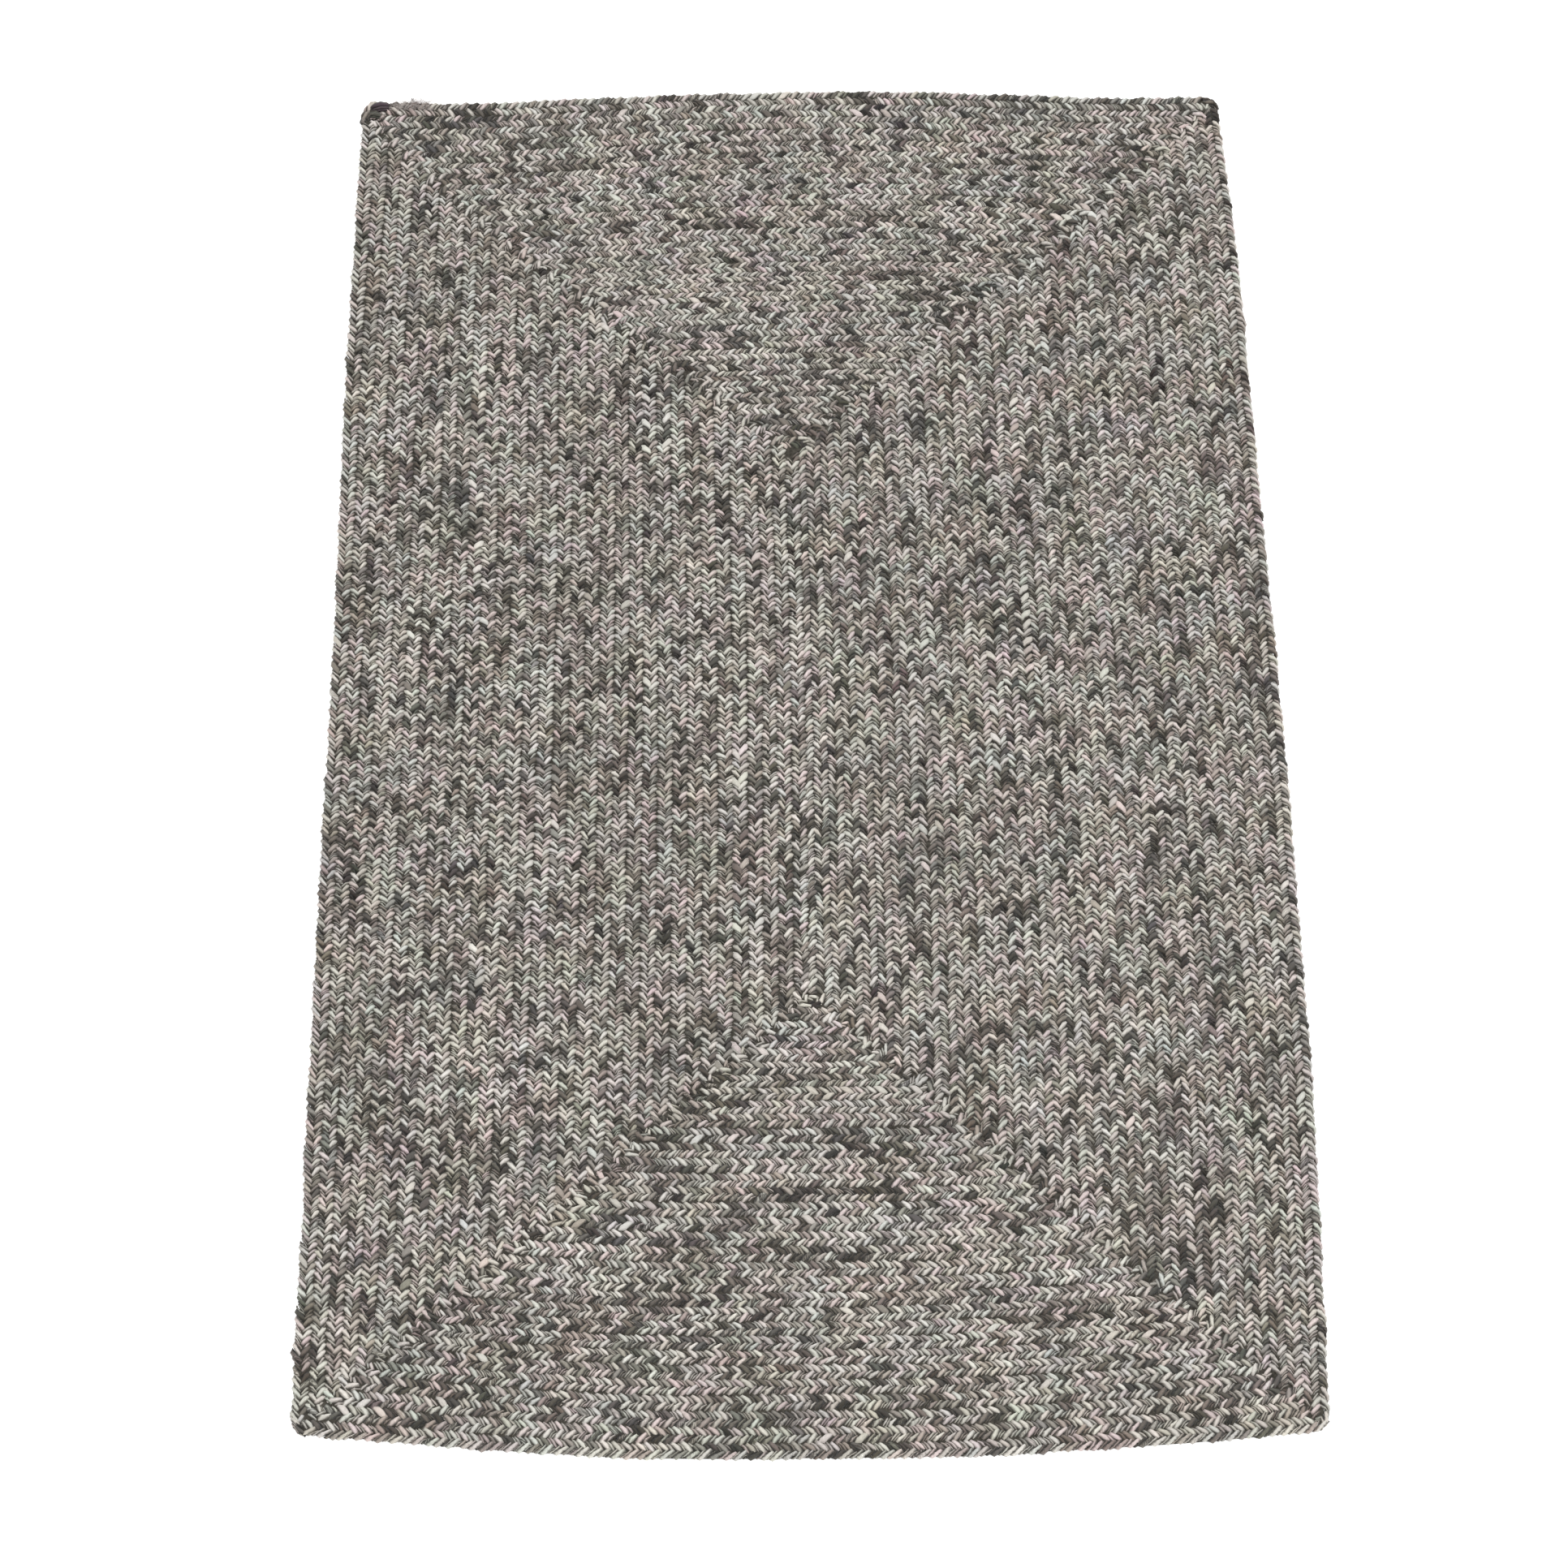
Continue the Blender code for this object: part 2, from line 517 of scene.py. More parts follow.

# The yarns of a lobe aren't alike: the first is broad and stands proud, and the others are
# narrower and sunk, with their colour painted darker for the shade of the first.
YARN_SHARES = ((1.0,), (0.66, 0.34), (0.54, 0.26, 0.20))
SHARE_JITTER = (0.9, 1.1)
PROUD = (0.3, -0.5, -0.8)
PROUD_PAINTED_LIGHT = (1.0, 0.6, 0.5)

FORMS_A_KIND = 5
YARN_COUNTS = (1, 2, 3)
COUNT_SHARES = (0.02, 0.72, 0.26)
FORM_STAYS = 0.6

# A yarn's section, as shares of its half width across and of its depth down, and how much
# of its colour is kept there rather than darkened in painted shade. A strand of one fat yarn
# is rounder on top. The tips are painted in shade, and the rings next to them partly are,
# first and last.
RIDGED = ((-1.0, -1.0, 0.0), (0.0, 0.0, 1.0), (1.0, -1.0, 0.0))
ROUNDED = ((-1.0, -1.0, 0.0), (-0.5, -0.12, 1.0), (0.5, -0.12, 1.0), (1.0, -1.0, 0.0))
TIP_PAINTED_LIGHT = 0.1
END_PAINTED_LIGHT = (0.65, 0.85)

# One lobe in the braid's own frame, in millimetres: along the travel, out from the middle
# of the braid, and up. Spread is how wide the yarns fan out there, and facing is the way
# the lobe's back looks, from 90 degrees up to 0 outwards.
FACE_ROWS = (
    (-4.5, 9.1, 3.0, 1.00, 50),
    (-3.5, 7.8, 5.9, 1.06, 58),
    (-0.4, 3.9, 9.0, 1.00, 88),
    (2.9, -0.1, 7.2, 1.00, 102),
    (4.6, -2.6, 3.0, 0.90, 108),
)


def spindle(rings, sides):
    """The faces of a closed spindle of a tip, some rings and a tip. Each face has its
    corners' numbers, the ring and side that each corner lies on, and whether it is below."""
    last = 1 + (rings - 1) * sides
    faces, places, below = [], [], []
    for side in range(sides):
        near, far = side, (side + 1) % sides
        faces.append((0, 1 + far, 1 + near))
        places += [(0, side + 0.5), (1, side + 1), (1, side)]
        for ring in range(1, rings):
            low, high = 1 + (ring - 1) * sides, 1 + ring * sides
            faces.append((low + near, low + far, high + far, high + near))
            places += [(ring, side), (ring, side + 1), (ring + 1, side + 1), (ring + 1, side)]
        faces.append((last + near, last + far, last + sides))
        places += [(rings, side), (rings, side + 1), (rings + 1, side + 0.5)]
        below += [side == sides - 1] * (rings + 1)
    return faces, places, below


def lobe(name, rows, section, yarns, hand, rng):
    """A mesh of one lobe: spindle-shaped yarns side by side. The hand is 1 for the left half
    of the braid, seen along its travel, and -1 for the right."""
    along, out, up, spread, facing = np.array(rows, float).T
    along = along * rng.uniform(*STRETCH) + rng.uniform(*START)
    line = np.stack([along, hand * out, up], 1)
    tangent = np.gradient(line, axis=0)
    tangent /= np.linalg.norm(tangent, axis=1)[:, None]
    tilt = np.radians(facing)
    back = np.stack([0 * tilt, hand * np.cos(tilt), np.sin(tilt)], 1)
    across = np.cross(back, tangent)
    across /= np.linalg.norm(across, axis=1)[:, None]
    back = np.cross(tangent, across)
    travel = np.concatenate([[0], np.cumsum(np.linalg.norm(np.diff(line, axis=0), axis=1))])
    rank = rng.permutation(yarns)
    shares = np.array(YARN_SHARES[yarns - 1])[rank] * rng.uniform(*SHARE_JITTER, yarns)
    edges = np.concatenate([[0], np.cumsum(shares / shares.sum())]) * 2 - 1
    aside, down, crest = np.array(section).T
    rings, sides = len(rows) - 2, len(section)
    yarn_faces, yarn_places, yarn_below = spindle(rings, sides)
    verts, crests, numbers, faces, uvs = [], [], [], [], []
    for number in range(yarns):
        middle = (edges[number] + edges[number + 1]) / 2
        share = (edges[number + 1] - edges[number]) / 2 * YARN_OVERLAP[yarns - 1]
        half = share * LOBE_HALF
        depth = DEPTH_LEAST + DEPTH_SHARE * half
        slip = rng.uniform(-SLIP, SLIP, len(rows))
        sway = rng.normal(0, SWAY, len(rows))
        lift = rng.uniform(*LIFT) + PROUD[rank[number]] - FLANK_DROP * middle**2
        ridge = line + tangent * slip[:, None] + back * lift + across * sway[:, None]
        ridge[:, 0] += middle * PITCH_MM / 2 * spread
        ridge[-2:, 1] += hand * middle * CROSSING
        ridge[-2:, 2] -= middle * CROSSING_DROP
        first = len(verts)
        verts.append(ridge[0])
        crests.append(TIP_PAINTED_LIGHT)
        for ring in range(1, rings + 1):
            reach = share * PITCH_MM / 2 * spread[ring]
            wide = np.outer(hand * aside * reach, (1, 0, 0))
            verts += list(ridge[ring] + wide + np.outer(down * depth, back[ring]))
            end_crest = {1: END_PAINTED_LIGHT[0], rings: END_PAINTED_LIGHT[1]}.get(ring, 1.0)
            crests += list(crest * PROUD_PAINTED_LIGHT[rank[number]] * end_crest)
        verts.append(ridge[-1])
        crests.append(TIP_PAINTED_LIGHT)
        numbers += [number] * (len(verts) - first)
        faces += [[first + corner for corner in face] for face in yarn_faces]
        girth = HALVES_ROUND * half
        uvs += [(travel[ring], girth * side / sides) for ring, side in yarn_places]
    mesh = bpy.data.meshes.new(name)
    mesh.from_pydata(np.array(verts) * MM, [], faces)
    mesh.uv_layers.new(name="yarn_mm").data.foreach_set("uv", np.ravel(uvs))
    mesh.attributes.new("yarn", "INT", "POINT").data.foreach_set("value", numbers)
    mesh.attributes.new("crest", "FLOAT", "POINT").data.foreach_set("value", crests)
    # The hidden face below each yarn is flat, so that it doesn't turn the normals down.
    mesh.polygons.foreach_set("use_smooth", [not below for below in yarn_below] * yarns)
    return mesh


def forms_of(name, rows, counts, rng):
    """A collection of like lobes: for each hand, each count of yarns and a few chances."""
    forms = bpy.data.collections.new(name)
    for hand in (1, -1):
        for yarns in counts:
            fat = yarns == 1 and len(counts) > 1
            for form in range(FORMS_A_KIND):
                label = f"{name}_{len(forms.objects):02d}"
                mesh = lobe(label, rows, ROUNDED if fat else RIDGED, yarns, hand, rng)
                forms.objects.link(bpy.data.objects.new(label, mesh))
    return forms


def lobe_tree():
    """Sets a lobe on each point of a mesh, dyes its yarns and makes all of it real."""
    tree = bpy.data.node_groups.new("Lobes along the braid", "GeometryNodeTree")
    face = tree.interface
    face.new_socket("Stations", in_out="INPUT", socket_type="NodeSocketGeometry")
    face.new_socket("Lobe forms", in_out="INPUT", socket_type="NodeSocketCollection")
    face.new_socket("Wool", in_out="INPUT", socket_type="NodeSocketMaterial")
    face.new_socket("Lobes", in_out="OUTPUT", socket_type="NodeSocketGeometry")

    def fact(name, kind):
        node = add_node(tree, "GeometryNodeInputNamedAttribute", {"Name": name}, data_type=kind)
        return node.outputs["Attribute"]

    start = add_node(tree, "NodeGroupInput")
    forms = add_node(
        tree,
        "GeometryNodeCollectionInfo",
        {"Collection": start.outputs["Lobe forms"], "Separate Children": True},
    )
    rotation = add_node(tree, "FunctionNodeEulerToRotation", {0: fact("turn", "FLOAT_VECTOR")})
    placed = add_node(
        tree,
        "GeometryNodeInstanceOnPoints",
        {
            "Points": start.outputs["Stations"],
            "Instance": forms.outputs["Instances"],
            "Pick Instance": True,
            "Instance Index": fact("form", "INT"),
            "Rotation": rotation.outputs["Rotation"],
            "Scale": fact("size", "FLOAT_VECTOR"),
        },
    )
    real = add_node(
        tree, "GeometryNodeRealizeInstances", {"Geometry": placed.outputs["Instances"]}
    )
    kept = real.outputs["Geometry"]
    # Each yarn takes its own dye, and a second fleece from the yarn beside it.
    for name, step in (("colour", 0), ("second_colour", 1)):
        dye = add_node(
            tree, "GeometryNodeIndexSwitch", {"Index": fact("yarn", "INT")}, data_type="RGBA"
        )
        while len(dye.index_switch_items) < YARN_SLOTS:
            dye.index_switch_items.new()
        for slot in range(YARN_SLOTS):
            slot_dye = fact(f"dye_{(slot + step) % YARN_SLOTS}", "FLOAT_COLOR")
            tree.links.new(slot_dye, dye.inputs[slot + 1])
        dyed = add_node(
            tree,
            "GeometryNodeStoreNamedAttribute",
            {"Geometry": kept, "Name": name, "Value": dye.outputs["Output"]},
            data_type="FLOAT_COLOR",
            domain="POINT",
        )
        kept = dyed.outputs["Geometry"]
    for name in ("form", "turn", "size", "yarn", *(f"dye_{slot}" for slot in range(YARN_SLOTS))):
        spare = add_node(tree, "GeometryNodeRemoveAttribute", {"Geometry": kept, "Name": name})
        kept = spare.outputs["Geometry"]
    clad = add_node(
        tree,
        "GeometryNodeSetMaterial",
        {"Geometry": kept, "Material": start.outputs["Wool"]},
    )
    add_node(tree, "NodeGroupOutput", {"Lobes": clad.outputs["Geometry"]})
    return tree


LOBES = lobe_tree()


def cover(piece):
    """The piece lies with the rug, and stands for the plain solid."""
    bpy.context.scene.collection.objects.link(piece)
    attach(piece, "root")
    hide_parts("braided_rug")
    return piece


def plant(name, lobes, forms):
    """Plants lobes on their stations, and returns them as one plain mesh piece."""
    mesh = bpy.data.meshes.new(name)
    mesh.vertices.add(len(lobes["place"]))
    mesh.vertices.foreach_set("co", np.ravel(lobes["place"]))
    mesh.attributes.new("form", "INT", "POINT").data.foreach_set("value", lobes["form"])
    for label in ("turn", "size", "chance"):
        made = mesh.attributes.new(label, "FLOAT_VECTOR", "POINT")
        made.data.foreach_set("vector", np.ravel(lobes[label]))
    for slot in range(YARN_SLOTS):
        made = mesh.attributes.new(f"dye_{slot}", "FLOAT_COLOR", "POINT")
        made.data.foreach_set("color", np.ravel(lobes["dye"][:, slot]))
    planted = bpy.data.objects.new(name, mesh)
    bpy.context.scene.collection.objects.link(planted)
    modifier = planted.modifiers.new("Lobes", "NODES")
    modifier.node_group = LOBES
    inputs = {"Lobe forms": forms, "Wool": WOOL}
    for item in LOBES.interface.items_tree:
        if item.in_out == "INPUT" and item.name in inputs:
            modifier[item.identifier] = inputs[item.name]
    seen = planted.evaluated_get(bpy.context.evaluated_depsgraph_get())
    plain = bpy.data.meshes.new_from_object(seen)
    bpy.data.objects.remove(planted)
    plain.name = name
    return cover(bpy.data.objects.new(name, plain))


def some(lobes, mask):
    return {fact: values[mask] for fact, values in lobes.items()}


# Lobes of the two halves take turns. The outer half has one lobe more at each corner,
# where the way round is longer. There the inner lobes are squeezed, and the outer ones
# turn a little later and are pushed out and stretched to close the corner.
HALF_BRAID = PITCH_ACROSS / 2
STEP_AHEAD = 3 * MM
BEND = 3 * MM
OUTER_LAG = 4 * MM
CORNER_SPAN = 6 * MM
CORNER_OUT = 2.4 * MM
OUTER_SWELL = np.array([0.16, 0.08, 0.0])
LAST_SWELL = np.array([0.16, -0.14, 0.0])
INNER_SQUEEZE = np.array([0.25, 0.25, 0.15])

# The last round's corners, and its end, are pushed out less or drawn in, as shares.
LAST_CORNERS = (-0.2, 0.1, 0.4, 0.8)
END_REACH = 30 * MM
END_DRAW = 0.7 * MM
END_TAPER = 0.12

# How unevenly the lobes lie, and how far each round drifts from its even place.
PLACE_JITTER = 0.28 * MM
TURN_JITTER = np.radians(3.0)
SIZE_JITTER = (0.05, 0.05, 0.025)
SIZE_LIMIT = 0.12
DRIFT = 0.35 * MM
DRIFT_LENGTHS = (0.05, 0.4)
DRIFT_WAVES = 40
MOST_CHANCE = 900

# Single lobes dyed much darker than those round them, in millimetres on the rug: dark wool,
# and painted shade where the braid gapes in a dark hole.
DARK_PLACES = ((8, -322), (3, -318), (2, 314), (-263, 532), (440, 734))
DARK_WOOL_AND_HOLE_SHADE = "#3d3835"


def lobes_along(rng):
    """The stations of all lobes in order along the braid, with what each lobe is like."""
    half_pitch = LOBE_PITCH / 2
    left_at = np.arange(half_pitch, ROUTE_AT[-1], LOBE_PITCH)
    reckoned = ROUTE_AT + LOBE_PITCH * PASSED
    right_at = np.interp(np.arange(LOBE_PITCH, reckoned[-1], LOBE_PITCH), reckoned, ROUTE_AT)
    at = np.concatenate([left_at, right_at])
    hand = np.repeat([1, -1], [len(left_at), len(right_at)])
    order = np.argsort(at, kind="stable")
    at, hand = at[order], hand[order]
    count = len(at)
    inner = (hand > 0)[:, None]

    place, _ = on_route(at)
    tuck = ease(1 - (ROUTE_AT[-1] - at) / END_REACH)
    behind = np.where(inner[:, 0], 0, OUTER_LAG * (1 - tuck))
    tuck = tuck[:, None]
    near_by = [on_route(at - behind + shift)[1] for shift in (-BEND, 0, BEND)]
    heading = np.mean(near_by, axis=0)
    ahead = np.stack([np.cos(heading), np.sin(heading)], 1)
    leftward = np.stack([-ahead[:, 1], ahead[:, 0]], 1)
    nearest = abs(at[:, None] - TURNS_AT).argmin(1)
    near = np.exp(-(((at - TURNS_AT[nearest]) / CORNER_SPAN) ** 2))[:, None]
    out_share = np.ones(len(TURNS_AT))
    out_share[-len(LAST_CORNERS) :] = LAST_CORNERS
    out_share = out_share[nearest][:, None]
    in_last_round = nearest[:, None] >= len(TURNS_AT) - len(LAST_CORNERS)
    outer_swell = np.where(in_last_round, LAST_SWELL, OUTER_SWELL)
    place = place - leftward * np.where(inner, 0, CORNER_OUT * near * out_share)
    place = place + leftward * tuck * END_DRAW
    drift = slow_change(at[:, None], DRIFT_LENGTHS, DRIFT_WAVES, rng)
    place = place + leftward * (DRIFT * drift)[:, None]

    here = settled(place)
    forward = settled(place + ahead * STEP_AHEAD) - settled(place - ahead * STEP_AHEAD)
    aside = settled(place + leftward * HALF_BRAID) - settled(place - leftward * HALF_BRAID)
    stretch_along = np.linalg.norm(forward, axis=1) / (2 * STEP_AHEAD)
    stretch_across = np.linalg.norm(aside, axis=1) / (2 * HALF_BRAID)
    size = np.stack([stretch_along, stretch_across, np.ones(count)], 1)
    uneven = rng.normal(0, SIZE_JITTER, (count, 3)).clip(-SIZE_LIMIT, SIZE_LIMIT)
    swell = np.where(inner, -INNER_SQUEEZE, outer_swell)
    size = size * (1 + uneven) * (1 + near * swell) * (1 - END_TAPER * tuck)
    here = here + rng.normal(0, PLACE_JITTER, (count, 2))
    turned = np.arctan2(forward[:, 1], forward[:, 0]) + rng.normal(0, TURN_JITTER, count)

    kind = rng.choice(len(YARN_COUNTS), (count, 1), p=COUNT_SHARES)
    form = kind * FORMS_A_KIND + rng.integers(0, FORMS_A_KIND, (count, 1))
    form = carried_on(form, FORM_STAYS, 2 * STRANDS, rng)[:, 0]
    dye = yarn_colours(here, rng)
    for spot in DARK_PLACES:
        marked = np.linalg.norm(here - np.array(spot) * MM, axis=1).argmin()
        dye[marked, :, :3] = linear(srgb_of(DARK_WOOL_AND_HOLE_SHADE))
    return {
        "at": at,
        "hand": hand,
        "place": np.column_stack([here, np.zeros(count)]),
        "turn": np.column_stack([np.zeros((count, 2)), turned]),
        "size": size,
        "form": form + np.where(hand > 0, 0, len(YARN_COUNTS) * FORMS_A_KIND),
        "chance": rng.uniform(0, MOST_CHANCE, (count, 3)),
        "dye": dye,
    }


RNG = np.random.default_rng(11)
ALL_LOBES = lobes_along(RNG)
LOBE_COUNT = len(ALL_LOBES["at"])
ORDER_SHARE = np.arange(LOBE_COUNT) / LOBE_COUNT

# The outer half of the last round is left for the rim.
LAST_ROUND_AT = TURNS_AT[-1 - len(LAST_CORNERS)] - LOBE_PITCH
ON_RIM = (ALL_LOBES["at"] > LAST_ROUND_AT) & (ALL_LOBES["hand"] < 0)

FACE_LENGTHS = 5
face_forms = forms_of("face_lobe", FACE_ROWS, YARN_COUNTS, RNG)
for length in range(FACE_LENGTHS):
    in_length = (ORDER_SHARE * FACE_LENGTHS).astype(int) == length
    face_lobes = some(ALL_LOBES, in_length & ~ON_RIM)
    plant(f"braid_face_{length + 1}", face_lobes, face_forms)


# The rim
#
# On the outer half of the last round nothing is laced on, so each strand shows all the way
# as it comes from under the braid, wraps round the rug's edge and crosses the top.

RIM_ROWS = (
    (-5.6, 3.0, 1.8, 0.60, -90),
    (-5.5, 6.2, 1.1, 1.05, -60),
    (-4.9, 7.7, 3.4, 1.10, 0),
    (-3.5, 7.1, 6.6, 1.06, 40),
    (-0.3, 4.0, 9.0, 1.00, 85),
    (3.3, -0.4, 7.1, 1.00, 102),
    (5.0, -2.6, 3.2, 0.90, 108),
)

# How far the rim stands out on each side of the rug, in millimetres.
SIDES_OUT = (((-1, 0), 1.0), ((0, -1), 0.0), ((1, 0), 1.2), ((0, 1), 1.6))
RIM_UNEVEN = 0.45

rim_lobes = some(ALL_LOBES, ON_RIM)
rim_turn = rim_lobes["turn"][:, 2]
outward = np.stack([np.sin(rim_turn), -np.cos(rim_turn)], 1)
for side, out_mm in SIDES_OUT:
    faces_it = np.clip(outward @ side, 0, 1)[:, None] ** 2
    rim_lobes["place"][:, :2] += outward * faces_it * out_mm * MM
rim_lobes["size"] = 1 + (rim_lobes["size"] - 1) * RIM_UNEVEN
rim_forms = forms_of("rim_lobe", RIM_ROWS, YARN_COUNTS, RNG)
plant("braid_rim", rim_lobes, rim_forms)


# The sewn-down end
#
# The braid's last strands are tucked in at the far left corner, over the start of the last
# round, and sewn down in two dark knobs. The yarns beside them are combed out and paler.

KNOB_ROWS = (
    (0.0, 7.4, 3.0, 0.70, 90),
    (0.2, 5.0, 8.6, 0.95, 90),
    (0.0, 0.0, 11.2, 1.00, 90),
    (-0.2, -5.0, 8.9, 0.95, 90),
    (0.0, -7.4, 3.0, 0.70, 90),
)

# Each knob's place on the rug, in millimetres, its turn in degrees, its size along and
# across, and the colours of its yarns.
KNOBS = (
    ((-433.5, 748.3), 98, (1.20, 1.85), ("#54464f", "#64565c", "#4b3f46")),
    ((-439.0, 739.2), 80, (0.95, 1.35), ("#5c5e55", "#4d4d46", "#6b675e")),
    ((-418.0, 747.0), 50, (0.80, 0.80), ("#c9c3ba", "#bdb1ac", "#a89c98")),
    ((-448.0, 738.5), -29, (0.85, 1.05), ("#857d75", "#9a9188", "#6c655f")),
)
knob_forms = forms_of("end_knob", KNOB_ROWS, (3,), RNG)
knob_count = len(KNOBS)
knob_places, knob_turns, knob_sizes, knob_codes = zip(*KNOBS)
knob_dyes = linear(np.array([[srgb_of(code) for code in codes] for codes in knob_codes]))
end_lobes = {
    "place": np.column_stack([np.array(knob_places) * MM, np.zeros(knob_count)]),
    "turn": np.column_stack([np.zeros((knob_count, 2)), np.radians(knob_turns)]),
    "size": np.column_stack([np.array(knob_sizes), np.ones(knob_count)]),
    "form": np.arange(knob_count),
    "chance": RNG.uniform(0, MOST_CHANCE, (knob_count, 3)),
    "dye": np.concatenate([knob_dyes, np.ones((knob_count, YARN_SLOTS, 1))], 2),
}
plant("braid_end", end_lobes, knob_forms)


# The loose fibres
#
# Fine ends of wool stand out of the yarns all round the rim. The end of the braid is combed
# out beside its knobs, with a tuft at the edge, and a pale thread lies on the rug near it.

# Each group's place in millimetres, its way and how far the fibres stray from it, their
# length and half width in millimetres, their number and their colour. They are drawn
# thicker than the real 0.03 mm, so that they show.
FIBRE_GROUPS = (
    ((-403, -388), (752, 757), (5.0, 8.5), (0.1, 0.8, 0.5), 0.5, (2.0, 5.0), 0.08, 240, "#cbc2bf"),
    ((-402, -399), (756, 758), (7.0, 9.0), (0.0, 0.9, 0.4), 0.3, (2.0, 3.5), 0.16, 16, "#4d444b"),
    ((-426, -384), (743, 756), (8.4, 9.8), (1.0, 0.1, 0.0), 0.5, (4.0, 9.0), 0.14, 260, "#c6bdb8"),
    ((-458, -455), (404, 409), (4.0, 8.0), (-1.0, 0.1, 0.3), 0.5, (2.0, 4.0), 0.13, 14, "#c9c4ba"),
    ((-256, -256), (561, 561), (9.5, 9.5), (0.0, -1.0, 0.0), 0.0, (13.0, 13.0), 0.45, 1, "#d8d2c6"),
)
RIM_FIBRES = 1600
RIM_FIBRE_OUT = (5.0, 7.4)
RIM_FIBRE_UP = (2.0, 8.6)
RIM_FIBRE_LENGTH = (0.6, 1.6)
RIM_FIBRE_HALF = 0.07
RIM_FIBRE_RISE = 0.3
RIM_FIBRE_STRAY = 0.6
FIBRE_CURL = 0.35
FIBRE_COLOUR = "#ccc7bf"
FIBRE_ALONG = (0.0, 0.35, 0.7, 1.0)
FIBRE_SIDES = 3
FIBRE_UV_MM = (1.0, 0.1)
FIBRE_TOP = 15


def loose_fibres(name, roots, ways, lengths, halves, colours, rng):
    """A mesh of thin curling fibres: closed three-sided spindles, one after another."""
    count = len(roots)
    ways = ways / np.linalg.norm(ways, axis=1)[:, None]
    curls = rng.normal(0, FIBRE_CURL, (count, 3))
    along = np.array(FIBRE_ALONG)[:, None, None]
    lines = roots + lengths[:, None] * (ways * along + curls * along**2)
    flat = np.cross(ways, rng.normal(0, 1, (count, 3)))
    flat /= np.linalg.norm(flat, axis=1)[:, None]
    upright = np.cross(ways, flat)
    angles = np.arange(FIBRE_SIDES) * 2 * np.pi / FIBRE_SIDES
    rounds = np.cos(angles)[:, None, None] * flat + np.sin(angles)[:, None, None] * upright
    rings = [lines[:1]]
    rings += [lines[step] + rounds * halves[:, None] for step in range(1, len(lines) - 1)]
    rings.append(lines[-1:])
    verts = np.concatenate(rings).transpose(1, 0, 2)
    verts[..., 2] = verts[..., 2].clip(0, FIBRE_TOP)
    corners = verts.shape[1]
    faces, places, _ = spindle(len(lines) - 2, FIBRE_SIDES)
    firsts = range(0, count * corners, corners)
    every_face = [[first + corner for corner in face] for first in firsts for face in faces]
    mesh = bpy.data.meshes.new(name)
    mesh.from_pydata(verts.reshape(-1, 3) * MM, [], every_face)
    mesh.polygons.foreach_set("use_smooth", [True] * len(every_face))
    uvs = np.array(places, float) * FIBRE_UV_MM
    mesh.uv_layers.new(name="yarn_mm").data.foreach_set("uv", np.tile(uvs.ravel(), count))
    dye = np.repeat(np.column_stack([linear(colours), np.ones(count)]), corners, axis=0)
    chance = np.repeat(rng.uniform(0, MOST_CHANCE, (count, 3)), corners, axis=0)
    for label in ("colour", "second_colour"):
        made = mesh.attributes.new(label, "FLOAT_COLOR", "POINT")
        made.data.foreach_set("color", dye.ravel())
    apart = mesh.attributes.new("chance", "FLOAT_VECTOR", "POINT")
    apart.data.foreach_set("vector", chance.ravel())
    # The loose fibres take no painted shade.
    crest = mesh.attributes.new("crest", "FLOAT", "POINT")
    crest.data.foreach_set("value", np.ones(count * corners))
    mesh.materials.append(WOOL)
    return mesh


# The rim's fibres stand out of its lobes.
held_by = RNG.integers(0, len(rim_lobes["at"]), RIM_FIBRES)
rim_out = RNG.uniform(*RIM_FIBRE_OUT, RIM_FIBRES)[:, None]
rim_up = RNG.uniform(*RIM_FIBRE_UP, RIM_FIBRES)
slide = RNG.uniform(-PITCH_MM / 2, PITCH_MM / 2, RIM_FIBRES)[:, None]
forwards = np.stack([-outward[:, 1], outward[:, 0]], 1)
root_xy = rim_lobes["place"][held_by, :2] / MM
root_xy = root_xy + outward[held_by] * rim_out + forwards[held_by] * slide
roots = [np.column_stack([root_xy, rim_up])]
rim_ways = np.column_stack([outward[held_by], np.full(RIM_FIBRES, RIM_FIBRE_RISE)])
ways = [rim_ways + RNG.normal(0, RIM_FIBRE_STRAY, (RIM_FIBRES, 3))]
lengths = [RNG.uniform(*RIM_FIBRE_LENGTH, RIM_FIBRES)]
halves = [np.full(RIM_FIBRES, RIM_FIBRE_HALF)]
colours = [np.tile(srgb_of(FIBRE_COLOUR), (RIM_FIBRES, 1))]
for across, along, up, way, stray, length, half, number, code in FIBRE_GROUPS:
    roots.append(np.column_stack([RNG.uniform(*span, number) for span in (across, along, up)]))
    ways.append(np.array(way) + RNG.normal(0, stray, (number, 3)))
    lengths.append(RNG.uniform(*length, number))
    halves.append(np.full(number, half))
    colours.append(np.tile(srgb_of(code), (number, 1)))
fibre_facts = [np.concatenate(fact) for fact in (roots, ways, lengths, halves, colours)]
fibres = bpy.data.objects.new("loose_fibres", loose_fibres("loose_fibres", *fibre_facts, RNG))
cover(fibres)


# The underside
#
# The same strands cross below, each as one flatter lobe that lies on the floor. Only the
# crests of these lobes come out below the firm layer inside.

BACK_ROWS = (
    (-6.6, -1.8, 3.6, 0.75, -90),
    (0.5, 3.9, 0.7, 1.00, -90),
    (7.4, 7.6, 3.8, 0.75, -60),
)
back_forms = forms_of("back_lobe", BACK_ROWS, (1,), RNG)
back_lobes = some(ALL_LOBES, ~ON_RIM)
back_lobes["form"] = np.where(back_lobes["hand"] > 0, 0, FORMS_A_KIND)
back_lobes["form"] += RNG.integers(0, FORMS_A_KIND, len(back_lobes["form"]))
plant("braid_underside", back_lobes, back_forms)


